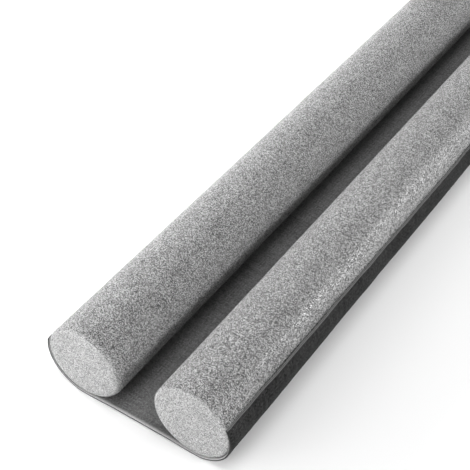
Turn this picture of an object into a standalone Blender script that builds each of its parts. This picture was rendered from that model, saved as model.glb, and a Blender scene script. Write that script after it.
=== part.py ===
"""Twin draught excluder: two foam rolls lying on one sheet of cloth that runs under a door.

Metres, +Z up. Y runs along the door and X across it. The origin is on the floor, under the
middle of the sheet. Each roll rests in the sheet, which turns up round its outer side.
"""

import math

import bmesh
import bpy
from mathutils import Matrix

# Driving sizes
LENGTH = 0.914  # of both rolls and of the sheet
ROLL_RADIUS = 0.0249
ROLL_SPACING = 0.0736  # between the two roll axes, which leaves the slot that the door stands in
SHEET_THICKNESS = 0.0011

# Foam roll
ROLL_SIDES = 64
REST_ANGLE = math.radians(11.25)  # each side of straight down, pressed flat by the roll's weight
END_ROUNDING = 0.004  # radius of the rim at each end
RIM_STEPS = 4

# Sheet
CLEARANCE = 0.0003  # between the sheet and the foam where they touch
UPTURN_ANGLES = {-1: math.radians(13.5), 1: math.radians(24)}  # of its long edges, above the axis
EDGE_STANDOFFS = {-1: 0.0002, 1: 0.0006}  # further that the long edges stand off the foam
ANGLE_STEP = math.radians(6)
STATION_STEP = 0.036
END_STATIONS = (0.0, 0.001, 0.002, 0.003, 0.004, 0.0055)  # distances from an end
END_PINCH = 0.001  # the corners follow the rounded ends of the foam by this much
END_PINCH_LENGTH = 0.005

# Slow waves in the long edges: (share of the amplitude, waves along the length, phase in turns)
WAVE_AMPLITUDE = 0.0002
EDGE_WAVES = ((0.5, 3.0, 0.10), (0.3, 7.0, 0.45), (0.2, 13.0, 0.80))

# Worked out from the sizes above
ROLL_AXIS_HEIGHT = SHEET_THICKNESS + CLEARANCE + ROLL_RADIUS * math.cos(REST_ANGLE)
SLOT_HALF_WIDTH = ROLL_SPACING / 2 - ROLL_RADIUS
SIDES = {"left": -1, "right": 1}

FOAM_GREY = (0.36, 0.36, 0.365, 1.0)
SHEET_CHARCOAL = (0.045, 0.045, 0.048, 1.0)


def clear_scene():
    for obj in list(bpy.data.objects):
        bpy.data.objects.remove(obj, do_unlink=True)


def make_material(name, colour, roughness):
    material = bpy.data.materials.new(name)
    material.use_nodes = True
    shader = material.node_tree.nodes["Principled BSDF"]
    shader.inputs["Base Color"].default_value = colour
    shader.inputs["Roughness"].default_value = roughness
    shader.inputs["Metallic"].default_value = 0.0
    return material


def make_object(name, bm, material, collection):
    mesh = bpy.data.meshes.new(name)
    bm.to_mesh(mesh)
    bm.free()
    mesh.materials.append(material)
    mesh.shade_smooth()
    mesh.set_sharp_from_angle(angle=math.radians(40))
    obj = bpy.data.objects.new(name, mesh)
    collection.objects.link(obj)
    return obj


def foam_roll(name, side, material, collection):
    """A foam rod along Y with rounded ends, pressed flat where it lies on the sheet."""
    bm = bmesh.new()
    bmesh.ops.create_cone(
        bm,
        cap_ends=True,
        segments=ROLL_SIDES,
        radius1=ROLL_RADIUS,
        radius2=ROLL_RADIUS,
        depth=LENGTH,
        matrix=Matrix.Rotation(math.radians(90), 4, "X"),
    )
    rims = [edge for face in bm.faces if len(face.verts) > 4 for edge in face.edges]
    bmesh.ops.bevel(
        bm,
        geom=rims,
        offset=END_ROUNDING,
        segments=RIM_STEPS,
        profile=0.5,
        affect="EDGES",
    )
    lowest = -ROLL_RADIUS * math.cos(REST_ANGLE)
    for vert in bm.verts:
        vert.co.z = max(vert.co.z, lowest)
    roll = make_object(name, bm, material, collection)
    roll.location = (side * ROLL_SPACING / 2, 0.0, ROLL_AXIS_HEIGHT)
    return roll


def sheet_half_section(side):
    """One half of the sheet's inner face, from under the door to the long edge.

    Each point is (angle round the roll, x, z), with no angle along the flat strip.
    """
    start = REST_ANGLE - math.pi / 2
    points = [(None, x, SHEET_THICKNESS) for x in (SLOT_HALF_WIDTH, 1.8 * SLOT_HALF_WIDTH)]
    turn = UPTURN_ANGLES[side] - start
    steps = round(turn / ANGLE_STEP)
    for step in range(steps + 1):
        points.append((start + turn * step / steps, None, None))
    return points


def stations():
    """Distances along Y at which the sheet has a section, closer together near its ends."""
    near = list(END_STATIONS)
    middle_length = LENGTH - 2 * near[-1]
    steps = round(middle_length / STATION_STEP)
    middle = [near[-1] + middle_length * step / steps for step in range(1, steps)]
    far = [LENGTH - distance for distance in reversed(near)]
    return [y - LENGTH / 2 for y in near + middle + far]


def smooth_step(value):
    value = min(max(value, 0.0), 1.0)
    return value * value * (3 - 2 * value)


def edge_wave(y, side):
    turn = y / LENGTH + 0.5
    return WAVE_AMPLITUDE * sum(
        share * math.sin(2 * math.pi * (waves * turn + phase * side))
        for share, waves, phase in EDGE_WAVES
    )


def sheet_point(angle, x, z, side, y):
    """A point of the sheet's inner face. The upturned part leaves the foam towards its edge."""
    if angle is None:
        return side * x, z
    upturned = smooth_step((angle + math.pi / 2) / (UPTURN_ANGLES[side] + math.pi / 2))
    to_end = LENGTH / 2 - abs(y)
    pinch = END_PINCH * smooth_step(1 - to_end / END_PINCH_LENGTH)
    standoff = upturned * (EDGE_STANDOFFS[side] + edge_wave(y, side) - pinch)
    turn = angle + upturned * 2 * edge_wave(y, -side) / ROLL_RADIUS
    radius = ROLL_RADIUS + CLEARANCE + standoff
    return (
        side * (ROLL_SPACING / 2 + radius * math.cos(turn)),
        ROLL_AXIS_HEIGHT + radius * math.sin(turn),
    )


def base_sheet(name, material, collection):
    """One sheet: flat under the door and the rolls, turned up round their outer sides."""
    left = [(-1, *point) for point in reversed(sheet_half_section(-1))]
    section = left + [(1, *point) for point in sheet_half_section(1)]
    along = stations()
    last_across = len(section) - 1
    last_along = len(along) - 1
    bm = bmesh.new()
    bmesh.ops.create_grid(bm, x_segments=last_across, y_segments=last_along, size=1.0)
    for vert in bm.verts:
        side, angle, x, z = section[round((vert.co.x + 1) / 2 * last_across)]
        y = along[round((vert.co.y + 1) / 2 * last_along)]
        across, height = sheet_point(angle, x, z, side, y)
        vert.co = (across, y, height)
    sheet = make_object(name, bm, material, collection)
    solidify = sheet.modifiers.new("Thickness", "SOLIDIFY")
    solidify.thickness = SHEET_THICKNESS
    solidify.offset = -1.0
    solidify.use_even_offset = True
    return sheet


clear_scene()
excluder = bpy.data.collections.new("draught_excluder")
bpy.context.scene.collection.children.link(excluder)

foam = make_material("grey_foam", FOAM_GREY, 0.85)
cloth = make_material("charcoal_cloth", SHEET_CHARCOAL, 0.8)
for side_name, side_sign in SIDES.items():
    foam_roll(f"foam_roll_{side_name}", side_sign, foam, excluder)
base_sheet("base_sheet", cloth, excluder)
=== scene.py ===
"""Twin draught excluder: two speckled foam rolls lying in one sheet of dark cloth."""

import math

import bmesh
import bpy
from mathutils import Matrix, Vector, noise


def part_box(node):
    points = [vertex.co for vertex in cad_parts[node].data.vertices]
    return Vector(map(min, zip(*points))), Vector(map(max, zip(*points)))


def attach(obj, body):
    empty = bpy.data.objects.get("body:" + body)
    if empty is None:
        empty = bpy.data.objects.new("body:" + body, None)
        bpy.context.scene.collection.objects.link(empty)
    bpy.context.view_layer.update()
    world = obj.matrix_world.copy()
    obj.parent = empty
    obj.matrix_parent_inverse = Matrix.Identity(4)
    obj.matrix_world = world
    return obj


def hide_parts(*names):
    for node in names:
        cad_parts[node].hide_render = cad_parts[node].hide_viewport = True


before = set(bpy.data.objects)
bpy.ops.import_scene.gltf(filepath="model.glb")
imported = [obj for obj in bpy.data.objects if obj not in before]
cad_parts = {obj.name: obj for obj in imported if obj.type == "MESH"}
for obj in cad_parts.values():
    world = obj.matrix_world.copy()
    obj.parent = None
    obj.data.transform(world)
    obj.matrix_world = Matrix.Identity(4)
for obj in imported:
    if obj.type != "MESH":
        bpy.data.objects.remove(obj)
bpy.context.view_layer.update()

left_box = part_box("foam_roll_left")
right_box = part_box("foam_roll_right")
sheet_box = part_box("base_sheet")

# Base sheet. One rectangle of heavy two-layer cloth, a charcoal weave outside and a greyer one
# inside, hot-cut so its edges stay bare. It lies flat under the door and both rolls, and turns
# up round the outer side of each. Nothing that shows fixes it: the rolls' weight holds it.

ROLL_RADIUS = (right_box[1][0] - right_box[0][0]) / 2
ROLL_SPACING = (right_box[0][0] + right_box[1][0] - left_box[0][0] - left_box[1][0]) / 2
ROLL_BOTTOM = right_box[0][2]
ROLL_AXIS_HEIGHT = right_box[1][2] - ROLL_RADIUS
REST_ANGLE = math.acos((ROLL_AXIS_HEIGHT - ROLL_BOTTOM) / ROLL_RADIUS)
LENGTH = right_box[1][1] - right_box[0][1]
LEFT, RIGHT = -1, 1

SHEET_THICKNESS = 0.0011
SHEET_TOP = ROLL_BOTTOM - 0.0002
FLAT_HALF = ROLL_SPACING / 2 + ROLL_RADIUS * math.sin(REST_ANGLE)
WRAP_RADIUS = ROLL_RADIUS + 0.0002
UPTURN_ANGLE = {LEFT: math.radians(13.5), RIGHT: math.radians(24)}
WRAP_LENGTH = {
    side: WRAP_RADIUS * (math.pi / 2 - REST_ANGLE + UPTURN_ANGLE[side]) for side in (LEFT, RIGHT)
}
SHEET_WIDTH = 2 * FLAT_HALF + WRAP_LENGTH[LEFT] + WRAP_LENGTH[RIGHT]

# How each long side lies: distance from the near end, gap between its edge and the foam,
# height of its edge over the mean, slack halfway round
SIDE_LIE = {
    LEFT: (
        (0.000, 0.0001, 0.0006, 0.0000),
        (0.060, 0.0002, 0.0000, 0.0001),
        (0.300, 0.0001, -0.0006, 0.0003),
        (0.560, 0.0003, 0.0004, 0.0001),
        (0.914, 0.0001, 0.0002, 0.0000),
    ),
    RIGHT: (
        (0.000, 0.0003, 0.0007, 0.0000),
        (0.020, 0.0005, 0.0008, 0.0000),
        (0.057, 0.0015, 0.0010, 0.0000),
        (0.105, 0.0010, 0.0002, 0.0000),
        (0.160, 0.0007, -0.0006, 0.0002),
        (0.210, 0.0006, -0.0012, 0.0006),
        (0.260, 0.0006, -0.0016, 0.0008),
        (0.400, 0.0009, -0.0008, 0.0004),
        (0.560, 0.0005, 0.0003, 0.0002),
        (0.720, 0.0011, 0.0001, 0.0005),
        (0.914, 0.0003, 0.0004, 0.0000),
    ),
}
CURL_HEIGHT = 0.0009  # of the cut ends between the rolls, which don't quite lie down
CURL_LENGTH = 0.006
CURL_HALF = FLAT_HALF - 0.008  # how far from the middle line the curl dies out
CURL_FADE = 0.014
SWELL_HEIGHT = 0.00012  # of the low swells in the flat strip
SWELL_HALF = ROLL_SPACING / 2 - 0.01
FREE_FROM = 0.35  # share of the way round at which the cloth starts to leave the foam
TUCK_DEPTH = {LEFT: 0.0003, RIGHT: 0.0006}  # the corners follow the softened rims of the foam
TUCK_LENGTH = 0.003
SHORT_RIPPLE = 0.00008
LONG_RIPPLE = 0.00006
EDGE_WAVER = 0.00018
LONG_EDGE_DEPTH = 0.26  # the knife ran at a slant along the long edges, which bares more backing


def smooth_step(value):
    value = min(max(value, 0.0), 1.0)
    return value * value * (3 - 2 * value)


def wander(distance, wavelength, seed):
    """A wandering value from about -1 to 1 that changes over the wavelength."""
    return 1.6 * noise.noise(Vector((distance / wavelength, seed * 7.31, seed * 1.73)))


def side_lie(side, distance):
    """A long side's gap, height and slack, eased between the table's rows."""
    rows = SIDE_LIE[side]
    for before, after in zip(rows, rows[1:]):
        if distance <= after[0]:
            break
    share = smooth_step((distance - before[0]) / (after[0] - before[0]))
    return [low + (high - low) * share for low, high in zip(before[1:], after[1:])]


def sheet_point(across, y):
    """A point of the sheet's inner face, at a distance across it from the door's middle line."""
    side = RIGHT if across > 0 else LEFT
    out = abs(across)
    distance = y + LENGTH / 2
    to_end = min(distance, LENGTH - distance)
    if out <= FLAT_HALF:
        lift = SWELL_HEIGHT * smooth_step(wander(y, 0.05, 3) + wander(across, 0.02, 4))
        lift *= smooth_step(1 - out / SWELL_HALF)
        curl = CURL_HEIGHT * smooth_step(1 - to_end / CURL_LENGTH)
        curl *= smooth_step((CURL_HALF - out) / CURL_FADE)
        return across, y, SHEET_TOP + lift + curl
    share = (out - FLAT_HALF) / WRAP_LENGTH[side]
    turn = REST_ANGLE - math.pi / 2 + (out - FLAT_HALF) / WRAP_RADIUS
    free = smooth_step((share - FREE_FROM) / (1 - FREE_FROM))
    gap, rise, slack = side_lie(side, distance)
    tuck = TUCK_DEPTH[side] * smooth_step(1 - to_end / TUCK_LENGTH)
    ripple = SHORT_RIPPLE * wander(y, 0.012, 5 + side) + LONG_RIPPLE * wander(y + out, 0.03, 8 + side)
    radius = WRAP_RADIUS + free * (gap - tuck) + smooth_step(share * 3) * ripple
    radius += slack * math.sin(math.pi * share) ** 2
    turn += share * (rise + EDGE_WAVER * wander(y, 0.011, 12 + side)) / WRAP_RADIUS
    return (
        side * (ROLL_SPACING / 2 + radius * math.cos(turn)),
        y,
        ROLL_AXIS_HEIGHT + radius * math.sin(turn),
    )


def spread(low, high, step):
    """Evenly spaced values from low to high, about a step apart."""
    count = max(1, round((high - low) / step))
    return [low + (high - low) * index / count for index in range(count + 1)]


def join_runs(*runs):
    """Runs of values that share their end values, as one list."""
    joined = list(runs[0])
    for run in runs[1:]:
        joined += run[1:]
    return joined


def grid_mesh(name, rows, columns, point, closed=False):
    """A mesh of rows by columns, each vertex from point(row, column). closed joins the sides."""
    verts = [point(row, column) for row in rows for column in columns]
    wide = len(columns)
    faces = [
        (
            row * wide + column,
            row * wide + (column + 1) % wide,
            (row + 1) * wide + (column + 1) % wide,
            (row + 1) * wide + column,
        )
        for row in range(len(rows) - 1)
        for column in range(wide if closed else wide - 1)
    ]
    mesh = bpy.data.meshes.new(name)
    mesh.from_pydata(verts, [], faces)
    return mesh


def add_piece(name, mesh, *materials):
    piece = bpy.data.objects.new(name, mesh)
    bpy.context.scene.collection.objects.link(piece)
    for material in materials:
        mesh.materials.append(material)
    mesh.shade_smooth()
    return piece


def add_node(tree, kind, settings=None, **inputs):
    """A shader node. An input is named with _ for a space, or i and its number."""
    node = tree.nodes.new(kind)
    for key, value in (settings or {}).items():
        setattr(node, key, value)
    for key, value in inputs.items():
        number = key[1:]
        socket = node.inputs[int(number) if number.isdigit() else key.replace("_", " ")]
        if isinstance(value, bpy.types.NodeSocket):
            tree.links.new(value, socket)
        else:
            socket.default_value = value
    return node


def math_node(tree, operation, first, second=0.0, third=0.0):
    settings = {"operation": operation}
    return add_node(tree, "ShaderNodeMath", settings, i0=first, i1=second, i2=third).outputs[0]


def blend_colours(tree, share, first, second):
    node = add_node(tree, "ShaderNodeMix", {"data_type": "RGBA"}, i0=share, i6=first, i7=second)
    return node.outputs[2]


def remap(tree, value, low, high, new_low=0.0, new_high=1.0):
    node = add_node(
        tree,
        "ShaderNodeMapRange",
        Value=value,
        From_Min=low,
        From_Max=high,
        To_Min=new_low,
        To_Max=new_high,
    )
    return node.outputs[0]


def grey(level):
    return (level, level, level, 1.0)


def new_group(name, inputs, outputs):
    """A shader node group with its named sockets. Returns the tree and its two end nodes."""
    tree = bpy.data.node_groups.new(name, "ShaderNodeTree")
    for socket_name, kind, value in inputs:
        socket = tree.interface.new_socket(socket_name, in_out="INPUT", socket_type=kind)
        if value is not None:
            socket.default_value = value
    for socket_name, kind in outputs:
        tree.interface.new_socket(socket_name, in_out="OUTPUT", socket_type=kind)
    return tree, tree.nodes.new("NodeGroupInput"), tree.nodes.new("NodeGroupOutput")


def new_material(name, roughness, specular):
    material = bpy.data.materials.new(name)
    material.use_nodes = True
    shader = material.node_tree.nodes["Principled BSDF"]
    shader.inputs["Roughness"].default_value = roughness
    shader.inputs["Specular IOR Level"].default_value = specular
    return material, material.node_tree, shader


def plain_weave_group():
    """Plain weave: threads pass over and under each other, each a little lighter or darker."""
    tree, given, result = new_group(
        "plain_weave",
        [("Cloth", "NodeSocketVector", None), ("Pitch", "NodeSocketFloat", 0.0009)],
        [
            ("Height", "NodeSocketFloat"),
            ("Thread", "NodeSocketFloat"),
            ("Fibre", "NodeSocketFloat"),
        ],
    )
    cloth = given.outputs["Cloth"]
    per_metre = math_node(tree, "DIVIDE", 1.0, given.outputs["Pitch"])
    drift = add_node(tree, "ShaderNodeTexNoise", Vector=cloth, Scale=160.0, Detail=1.0)
    drift_off = add_node(
        tree,
        "ShaderNodeVectorMath",
        {"operation": "SUBTRACT"},
        i0=drift.outputs["Color"],
        i1=(0.5,) * 3,
    )
    count = add_node(
        tree, "ShaderNodeVectorMath", {"operation": "SCALE"}, i0=cloth, Scale=per_metre
    )
    bent = add_node(
        tree,
        "ShaderNodeVectorMath",
        {"operation": "MULTIPLY_ADD"},
        i0=drift_off.outputs[0],
        i1=(0.5,) * 3,
        i2=count.outputs[0],
    )
    threads = add_node(tree, "ShaderNodeSeparateXYZ", Vector=bent.outputs[0])
    domes = []
    numbers = []
    for axis in (0, 1):
        place = threads.outputs[axis]
        turn = math_node(tree, "MULTIPLY", math_node(tree, "FRACT", place), math.pi)
        domes.append(math_node(tree, "SINE", turn))
        numbers.append(math_node(tree, "FLOOR", place))
    heights = []
    for over, under in ((0, 1), (1, 0)):
        swell = math_node(tree, "MULTIPLY_ADD", domes[under], 0.5, 0.5)
        round_top = math_node(tree, "POWER", domes[over], 0.7)
        heights.append(math_node(tree, "MULTIPLY", round_top, swell))
    odd = math_node(
        tree, "MODULO", math_node(tree, "ABSOLUTE", math_node(tree, "ADD", *numbers)), 2.0
    )
    high = add_node(
        tree, "ShaderNodeMix", {"data_type": "FLOAT"}, i0=odd, i2=heights[0], i3=heights[1]
    ).outputs[0]
    owner = add_node(
        tree, "ShaderNodeMix", {"data_type": "FLOAT"}, i0=odd, i2=numbers[0], i3=numbers[1]
    ).outputs[0]
    set_gap = 511.5  # keeps the numbers of the two sets of threads apart
    own_number = math_node(tree, "MULTIPLY_ADD", odd, set_gap, owner)
    whole = add_node(tree, "ShaderNodeTexWhiteNoise", {"noise_dimensions": "1D"}, W=own_number)
    crossing = add_node(tree, "ShaderNodeCombineXYZ", i0=numbers[0], i1=numbers[1])
    spot = add_node(
        tree, "ShaderNodeTexWhiteNoise", {"noise_dimensions": "2D"}, Vector=crossing.outputs[0]
    )
    whole_share = math_node(tree, "MULTIPLY", whole.outputs["Value"], 0.4)
    shade = math_node(tree, "MULTIPLY_ADD", spot.outputs["Value"], 0.6, whole_share)
    fibre = add_node(
        tree, "ShaderNodeTexNoise", Vector=cloth, Scale=4200.0, Detail=2.0, Roughness=0.6
    )
    tree.links.new(high, result.inputs["Height"])
    tree.links.new(shade, result.inputs["Thread"])
    tree.links.new(fibre.outputs[0], result.inputs["Fibre"])
    return tree


WEAVE = plain_weave_group()


def distance_to_cut(tree, lay, ends_too):
    """How far in from the long edges a point of the cut cloth is, or from any edge, in metres."""
    place = add_node(tree, "ShaderNodeSeparateXYZ", Vector=lay)
    across = math_node(tree, "ABSOLUTE", place.outputs[0])
    in_across = math_node(tree, "SUBTRACT", SHEET_WIDTH / 2, across)
    if not ends_too:
        return in_across
    along = math_node(tree, "ABSOLUTE", place.outputs[1])
    in_along = math_node(tree, "SUBTRACT", LENGTH / 2, along)
    return math_node(tree, "MINIMUM", in_across, in_along)


def woven_material(
    name,
    gap_colour,
    dark_thread,
    pale_thread,
    edge_band_thread,
    edge_band_width,
    edge_band_at_ends,
    pitch,
    gloss,
    sheen,
    relief,
):
    """Woven cloth, with a band of paler threads along its cut edges."""
    material, tree, shader = new_material(name, 0.8, gloss)
    lay = add_node(tree, "ShaderNodeUVMap", {"uv_map": "cut_cloth"})
    weave = add_node(
        tree, "ShaderNodeGroup", {"node_tree": WEAVE}, Cloth=lay.outputs["UV"], Pitch=pitch
    )
    worn = add_node(tree, "ShaderNodeTexNoise", Vector=lay.outputs["UV"], Scale=28.0, Detail=4.0)
    tone = math_node(tree, "MULTIPLY_ADD", weave.outputs["Fibre"], 0.5, -0.35)
    tone = math_node(tree, "MULTIPLY_ADD", weave.outputs["Thread"], 0.9, tone)
    tone = math_node(tree, "MULTIPLY_ADD", remap(tree, worn.outputs[0], 0.35, 0.65), 0.2, tone)
    thread = blend_colours(tree, tone, dark_thread, pale_thread)
    showing = remap(tree, weave.outputs["Height"], 0.12, 0.45)
    woven = blend_colours(tree, showing, gap_colour, thread)
    # Along the cut edges the threads are drawn paler, in a band with a ragged inner border.
    to_cut = math_node(
        tree,
        "MULTIPLY_ADD",
        remap(tree, weave.outputs["Fibre"], 0.3, 0.7, -0.5, 0.5),
        0.5 * edge_band_width,
        distance_to_cut(tree, lay.outputs["UV"], edge_band_at_ends),
    )
    paler_edge_share = remap(tree, to_cut, 0.4 * edge_band_width, edge_band_width, 1.0, 0.0)
    tree.links.new(blend_colours(tree, paler_edge_share, woven, edge_band_thread), shader.inputs["Base Color"])
    height = math_node(tree, "MULTIPLY_ADD", weave.outputs["Fibre"], 0.25, weave.outputs["Height"])
    bump = add_node(tree, "ShaderNodeBump", Strength=0.8, Distance=relief, Height=height)
    tree.links.new(bump.outputs["Normal"], shader.inputs["Normal"])
    shader.inputs["Sheen Weight"].default_value = sheen
    shader.inputs["Sheen Roughness"].default_value = 0.5
    return material


inner_face = woven_material(
    "grey_inner_face",
    gap_colour=grey(0.085),
    dark_thread=grey(0.11),
    pale_thread=grey(0.33),
    edge_band_thread=grey(0.5),
    edge_band_width=0.0020,
    edge_band_at_ends=True,
    pitch=0.0009,
    gloss=0.25,
    sheen=0.1,
    relief=0.00012,
)
outer_face = woven_material(
    "charcoal_outer_face",
    gap_colour=grey(0.002),
    dark_thread=grey(0.005),
    pale_thread=grey(0.05),
    edge_band_thread=grey(0.16),
    edge_band_width=0.0008,
    edge_band_at_ends=False,
    pitch=0.0011,
    gloss=0.08,
    sheen=0.01,
    relief=0.0002,
)

# The cut shows the cloth's two layers: a pale grey backing inside and the charcoal weave outside
cut_edge, tree, shader = new_material("hot_cut_edge", 0.6, 0.3)
place = add_node(tree, "ShaderNodeTexCoord").outputs["Object"]
fray = add_node(tree, "ShaderNodeTexNoise", Vector=place, Scale=1500.0, Detail=3.0, Roughness=0.7)
backing = blend_colours(tree, remap(tree, fray.outputs[0], 0.35, 0.65), grey(0.26), grey(0.56))
depth = add_node(tree, "ShaderNodeAttribute", {"attribute_name": "depth"}).outputs["Fac"]
uneven_depth = math_node(tree, "MULTIPLY_ADD", fray.outputs[0], 0.3, depth)
layers = blend_colours(tree, remap(tree, uneven_depth, 0.22, 0.34), backing, grey(0.02))
tree.links.new(layers, shader.inputs["Base Color"])
bump = add_node(tree, "ShaderNodeBump", Strength=0.7, Distance=0.0001, Height=fray.outputs[0])
tree.links.new(bump.outputs["Normal"], shader.inputs["Normal"])

MIDDLE_HALF = LENGTH / 2 - CURL_LENGTH
END_STEP = 0.0005
ROW_STEP = 0.0021
WRAP_STEP = 0.0015
FLAT_STEP = 0.006
sheet_rows = join_runs(
    spread(-LENGTH / 2, -MIDDLE_HALF, END_STEP),
    spread(-MIDDLE_HALF, MIDDLE_HALF, ROW_STEP),
    spread(MIDDLE_HALF, LENGTH / 2, END_STEP),
)
sheet_columns = join_runs(
    spread(-FLAT_HALF - WRAP_LENGTH[LEFT], -FLAT_HALF, WRAP_STEP),
    spread(-FLAT_HALF, FLAT_HALF, FLAT_STEP),
    spread(FLAT_HALF, FLAT_HALF + WRAP_LENGTH[RIGHT], WRAP_STEP),
)
sheet_mesh = grid_mesh(
    "cloth_sheet", sheet_rows, sheet_columns, lambda y, across: sheet_point(across, y)
)
cut_middle = (sheet_columns[0] + sheet_columns[-1]) / 2
cut_cloth = sheet_mesh.uv_layers.new(name="cut_cloth")
for loop in sheet_mesh.loops:
    row, column = divmod(loop.vertex_index, len(sheet_columns))
    cut_cloth.data[loop.index].uv = (sheet_columns[column] - cut_middle, sheet_rows[row])

sheet = add_piece("cloth_sheet", sheet_mesh, inner_face, outer_face, cut_edge)
thickness = sheet.modifiers.new("Thickness", "SOLIDIFY")
thickness.thickness = SHEET_THICKNESS
thickness.offset = -1.0
thickness.material_offset = 1
thickness.material_offset_rim = 2
solid_mesh = bpy.data.meshes.new_from_object(
    sheet.evaluated_get(bpy.context.evaluated_depsgraph_get())
)
sheet.modifiers.remove(thickness)
sheet.data = solid_mesh
depth_values = solid_mesh.attributes.new("depth", "FLOAT", "POINT")
for index, value in enumerate(depth_values.data):
    if index >= len(sheet_mesh.vertices):
        row = index // len(sheet_columns) - len(sheet_rows)
        value.value = 1.0 if row in (0, len(sheet_rows) - 1) else LONG_EDGE_DEPTH
soft_corner = sheet.modifiers.new("Softened cut", "BEVEL")
soft_corner.limit_method = "ANGLE"
soft_corner.angle_limit = math.radians(60)
soft_corner.width = 0.0002
soft_corner.segments = 2

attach(sheet, "root")
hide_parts("base_sheet")

# Foam rolls. Each is one length of extruded closed-cell foam, grey with dark and pale specks and
# bits of glossy skin along its outer side, cut square at the ends, where the cut softens the rim.
# They lie loose in the sheet, and their own weight presses the underside a little flat.

# Rim radius of each roll: where it is least, where it is most, and which way the most faces
RIM_ROUNDING = {
    LEFT: (0.0014, 0.0046, math.radians(-10)),
    RIGHT: (0.0017, 0.0028, math.radians(-90)),
}
FACE_RINGS = 14
RIM_RINGS = 8
BODY_RINGS = 284
ROLL_COLUMNS = spread(0, 2 * math.pi, 2 * math.pi / 132)[:-1]
PIN_HOLE = 0.0004  # radius of the innermost ring of each end, which close_ends fills
FACE_DOME = 0.0004
LUMP_HEIGHT = 0.00010
GRAIN_HEIGHT = 0.00005


def rim_radius(side, turn):
    least, most, facing = RIM_ROUNDING[side]
    return least + (most - least) * (1 + math.cos(turn - facing)) / 2


def roll_profile(rim):
    """Points along a roll, each (distance from the near end, radius, share of the rim's turn)."""
    start = []
    for ring in range(FACE_RINGS + 1):
        radius = PIN_HOLE + (ROLL_RADIUS - rim - PIN_HOLE) * ring / FACE_RINGS
        start.append((0.0, radius, 0.0))
    for ring in range(1, RIM_RINGS + 1):
        angle = math.pi / 2 * ring / RIM_RINGS
        inwards = rim * (1 - math.sin(angle))
        start.append((rim * (1 - math.cos(angle)), ROLL_RADIUS - inwards, ring / RIM_RINGS))
    far = [(LENGTH - distance, radius, share) for distance, radius, share in reversed(start)]
    body = spread(rim, LENGTH - rim, (LENGTH - 2 * rim) / BODY_RINGS)[1:-1]
    return start + [(distance, ROLL_RADIUS, 1.0) for distance in body] + far


def foam_roll_mesh(name, side):
    """A roll's mesh, with a point attribute that marks each end's softened rim for a painted sheen.
    """
    seed = 5.0 * side
    profiles = [roll_profile(rim_radius(side, turn)) for turn in ROLL_COLUMNS]
    rows = range(len(profiles[0]))

    def vertex(row, column):
        distance, radius, _ = profiles[column][row]
        turn = ROLL_COLUMNS[column]
        x = radius * math.cos(turn)
        z = radius * math.sin(turn)
        y = distance - LENGTH / 2
        lump = LUMP_HEIGHT * noise.noise(Vector((x, y, z)) * 45 + Vector((seed, 0, 0)))
        lump += GRAIN_HEIGHT * noise.noise(Vector((x, y, z)) * 260)
        grow = 1 + lump / ROLL_RADIUS
        face_share = smooth_step((ROLL_RADIUS - radius) / ROLL_RADIUS)
        cut = FACE_DOME * face_share + 3 * lump * smooth_step(face_share * 4)
        y += cut if distance > LENGTH / 2 else -cut
        z = max(z * grow, ROLL_BOTTOM - ROLL_AXIS_HEIGHT)
        return side * ROLL_SPACING / 2 + x * grow, y, ROLL_AXIS_HEIGHT + z

    mesh = grid_mesh(name, rows, range(len(ROLL_COLUMNS)), vertex, closed=True)
    # Painted highlight: the rims of the ends are marked here, and the foam's colour is painted paler
    # along them as a sheen of light.
    painted_rim_sheen = mesh.attributes.new("painted_rim_sheen", "FLOAT", "POINT")
    for index, value in enumerate(painted_rim_sheen.data):
        row, column = divmod(index, len(ROLL_COLUMNS))
        value.value = math.sin(math.pi * profiles[column][row][2]) ** 2
    return mesh


def close_ends(mesh):
    """Fills the pin-sized hole that the rows of a roll leave in the middle of each end."""
    bm = bmesh.new()
    bm.from_mesh(mesh)
    open_edges = [edge for edge in bm.edges if len(edge.link_faces) == 1]
    caps = bmesh.ops.holes_fill(bm, edges=open_edges, sides=0)["faces"]
    bmesh.ops.poke(bm, faces=caps)
    bmesh.ops.recalc_face_normals(bm, faces=bm.faces)
    bm.to_mesh(mesh)
    bm.free()


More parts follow.
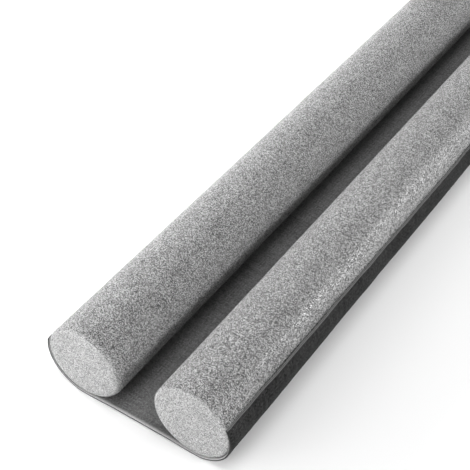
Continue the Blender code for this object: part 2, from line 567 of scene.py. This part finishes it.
def foam_cells_group():
    """Closed foam cells: pale and dark specks of cell walls, some shiny, and larger bits of skin."""
    tree, given, result = new_group(
        "foam_cells",
        [
            ("Cell Size", "NodeSocketFloat", 0.0009),
            ("Dark", "NodeSocketColor", grey(0.2)),
            ("Middle", "NodeSocketColor", grey(0.4)),
            ("Pale", "NodeSocketColor", grey(0.7)),
        ],
        [
            ("Color", "NodeSocketColor"),
            ("Roughness", "NodeSocketFloat"),
            ("Skin", "NodeSocketFloat"),
            ("Height", "NodeSocketFloat"),
        ],
    )
    place = add_node(tree, "ShaderNodeTexCoord").outputs["Object"]
    per_metre = math_node(tree, "DIVIDE", 1.0, given.outputs["Cell Size"])
    fine_per_metre = math_node(tree, "MULTIPLY", per_metre, 1.9)
    patches_per_metre = math_node(tree, "MULTIPLY", per_metre, 0.55)
    cells = add_node(tree, "ShaderNodeTexVoronoi", Vector=place, Scale=per_metre)
    fine = add_node(tree, "ShaderNodeTexVoronoi", Vector=place, Scale=fine_per_metre)
    patches = add_node(tree, "ShaderNodeTexVoronoi", Vector=place, Scale=patches_per_metre)
    skin = add_node(tree, "ShaderNodeSeparateColor", Color=patches.outputs["Color"])
    own = add_node(tree, "ShaderNodeSeparateColor", Color=cells.outputs["Color"])
    small = add_node(tree, "ShaderNodeSeparateColor", Color=fine.outputs["Color"])
    own_share = math_node(tree, "MULTIPLY", own.outputs[0], 0.75)
    speck = math_node(tree, "MULTIPLY_ADD", small.outputs[0], 0.25, own_share)
    mottle = add_node(tree, "ShaderNodeTexNoise", Vector=place, Scale=90.0, Detail=3.0)
    mottling = remap(tree, mottle.outputs[0], 0.3, 0.7, -0.5, 0.5)
    speck = math_node(tree, "MULTIPLY_ADD", mottling, 0.05, speck)
    dark, middle, pale = (given.outputs[name] for name in ("Dark", "Middle", "Pale"))
    darker = blend_colours(tree, remap(tree, speck, 0.22, 0.45), dark, middle)
    colour = blend_colours(tree, remap(tree, speck, 0.55, 0.8), darker, pale)
    # Painted highlight: along the marked rims of the ends, some cells are painted paler, standing in
    # for the sheen of light on the rim.
    painted_rim_sheen = add_node(tree, "ShaderNodeAttribute", {"attribute_name": "painted_rim_sheen"}).outputs["Fac"]
    painted_rim_sheen = math_node(tree, "MULTIPLY", painted_rim_sheen, remap(tree, own.outputs[1], 0.3, 0.7, 0.0, 0.5))
    colour = blend_colours(tree, painted_rim_sheen, colour, pale)
    shiny = remap(tree, own.outputs[1], 0.62, 0.95)
    rough = remap(tree, shiny, 0.0, 1.0, 0.78, 0.3)
    dome = math_node(tree, "SUBTRACT", 1.0, cells.outputs["Distance"])
    height = math_node(tree, "MULTIPLY_ADD", fine.outputs["Distance"], -0.5, dome)
    height = math_node(tree, "MULTIPLY_ADD", own.outputs[2], 0.35, height)
    tree.links.new(colour, result.inputs["Color"])
    tree.links.new(rough, result.inputs["Roughness"])
    tree.links.new(remap(tree, skin.outputs[0], 0.7, 0.78), result.inputs["Skin"])
    tree.links.new(height, result.inputs["Height"])
    return tree


FOAM_CELLS = foam_cells_group()


# Where bits of skin are left: away from the door, and fewer near the handled ends
SKIN_START = ROLL_SPACING / 2 + 0.008
SKIN_FULL = ROLL_SPACING / 2 + 0.016
SKIN_THINS_FROM = LENGTH / 2 - 0.10
SKIN_THIN = LENGTH / 2 - 0.03
SKIN_AT_ENDS = 0.25


def foam_material(name, cell, dark, middle, pale, relief, skinned):
    """Foam of one cell size. skinned adds a glossy coat on the bits of skin."""
    material, tree, shader = new_material(name, 0.7, 0.5)
    cells = add_node(
        tree,
        "ShaderNodeGroup",
        {"node_tree": FOAM_CELLS},
        Cell_Size=cell,
        Dark=dark,
        Middle=middle,
        Pale=pale,
    )
    tree.links.new(cells.outputs["Color"], shader.inputs["Base Color"])
    tree.links.new(cells.outputs["Roughness"], shader.inputs["Roughness"])
    if skinned:
        place = add_node(tree, "ShaderNodeTexCoord").outputs["Object"]
        split = add_node(tree, "ShaderNodeSeparateXYZ", Vector=place)
        across = math_node(tree, "ABSOLUTE", split.outputs[0])
        along = math_node(tree, "ABSOLUTE", split.outputs[1])
        outer_side = remap(tree, across, SKIN_START, SKIN_FULL)
        off_ends = remap(tree, along, SKIN_THINS_FROM, SKIN_THIN, 1.0, SKIN_AT_ENDS)
        left_on = math_node(tree, "MULTIPLY", outer_side, off_ends)
        skin = math_node(tree, "MULTIPLY", cells.outputs["Skin"], left_on)
        tree.links.new(skin, shader.inputs["Coat Weight"])
        shader.inputs["Coat Roughness"].default_value = 0.26
        shader.inputs["Coat IOR"].default_value = 1.8
    height = cells.outputs["Height"]
    bump = add_node(tree, "ShaderNodeBump", Strength=1.0, Distance=relief, Height=height)
    tree.links.new(bump.outputs["Normal"], shader.inputs["Normal"])
    return material


foam_skin = foam_material(
    "speckled_foam", 0.00042, grey(0.03), grey(0.205), grey(0.6), 0.0003, skinned=True
)
# The cut ends are coloured paler than the skin; part of this is painted light, standing in for the
# brighter light that falls on the ends from the front.
foam_cut = foam_material(
    "cut_foam_end", 0.00042, grey(0.15), grey(0.37), grey(0.66), 0.00018, skinned=False
)

for side, name, node in (
    (LEFT, "left_foam_roll", "foam_roll_left"),
    (RIGHT, "right_foam_roll", "foam_roll_right"),
):
    mesh = foam_roll_mesh(name, side)
    close_ends(mesh)
    roll = add_piece(name, mesh, foam_skin, foam_cut)
    for polygon in mesh.polygons:
        if abs(polygon.normal.y) > 0.8:
            polygon.material_index = 1
    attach(roll, "root")
    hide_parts(node)

# Studio. A plain white floor under a pale even surround. Soft boxes stand low on the left, in
# front of the cut ends, low on the right, and behind on the right, where the bits of skin catch
# them. A wide soft light hangs overhead.

FLOOR_HALF = 9
floor_corners = [
    (x * FLOOR_HALF, y * FLOOR_HALF, 0) for x, y in ((-1, -1), (1, -1), (1, 1), (-1, 1))
]
floor_mesh = bpy.data.meshes.new("floor")
floor_mesh.from_pydata(floor_corners, [], [(0, 1, 2, 3)])
floor_paint, tree, shader = new_material("white_floor", 0.9, 0.2)
shader.inputs["Base Color"].default_value = grey(0.92)
floor = add_piece("floor", floor_mesh, floor_paint)
floor.location.z = sheet_box[0][2]

world = bpy.data.worlds.new("studio")
world.use_nodes = True
surround = world.node_tree.nodes["Background"]
surround.inputs["Color"].default_value = grey(1.0)
surround.inputs["Strength"].default_value = 0.28
bpy.context.scene.world = world


def add_soft_light(name, aim, azimuth, elevation, distance, height, width, power):
    """A soft box that shines at a point from an azimuth, 0 in front and 90 on the right."""
    data = bpy.data.lights.new(name, "AREA")
    data.shape = "RECTANGLE"
    data.size = height
    data.size_y = width
    data.energy = power
    light = bpy.data.objects.new(name, data)
    bpy.context.scene.collection.objects.link(light)
    turn = math.radians(azimuth)
    rise = math.radians(elevation)
    back = Vector(
        (math.sin(turn) * math.cos(rise), -math.cos(turn) * math.cos(rise), math.sin(rise))
    )
    light.location = Vector(aim) + back * distance
    light.rotation_euler = back.to_track_quat("Z", "X").to_euler()
    light.visible_camera = False


near_end = (0.0, -LENGTH / 2, 0.025)
right_roll = (0.04, -0.1, 0.025)
add_soft_light("left_light", (-0.06, -0.25, 0.03), -90, 24, 0.42, 0.18, 1.3, 5.5)
add_soft_light("front_light", near_end, -20, 25, 1.6, 0.5, 1.2, 13.2)
add_soft_light("right_light", right_roll, 90, 30, 1.2, 0.1, 1.2, 8.0)
add_soft_light("back_light", right_roll, 130, 22, 1.2, 0.7, 0.6, 4.8)

overhead = bpy.data.lights.new("overhead_light", "SUN")
overhead.energy = 0.88
overhead.angle = math.radians(30)
overhead_light = bpy.data.objects.new("overhead_light", overhead)
bpy.context.scene.collection.objects.link(overhead_light)
overhead_light.rotation_euler = (0, math.radians(6), 0)

# Camera, above the right of the near end and looking down along the rolls.
camera_data = bpy.data.cameras.new("camera")
camera_data.sensor_width = 36
camera_data.lens = 84.33
camera_data.clip_start = 0.01
camera = bpy.data.objects.new("camera", camera_data)
bpy.context.scene.collection.objects.link(camera)
camera.location = (0.2597, -0.2886 - LENGTH / 2, 0.4949)
camera.rotation_euler = (math.radians(90 - 42.45), 0, math.radians(33.95))
bpy.context.scene.camera = camera
bpy.context.scene.view_settings.view_transform = "Standard"
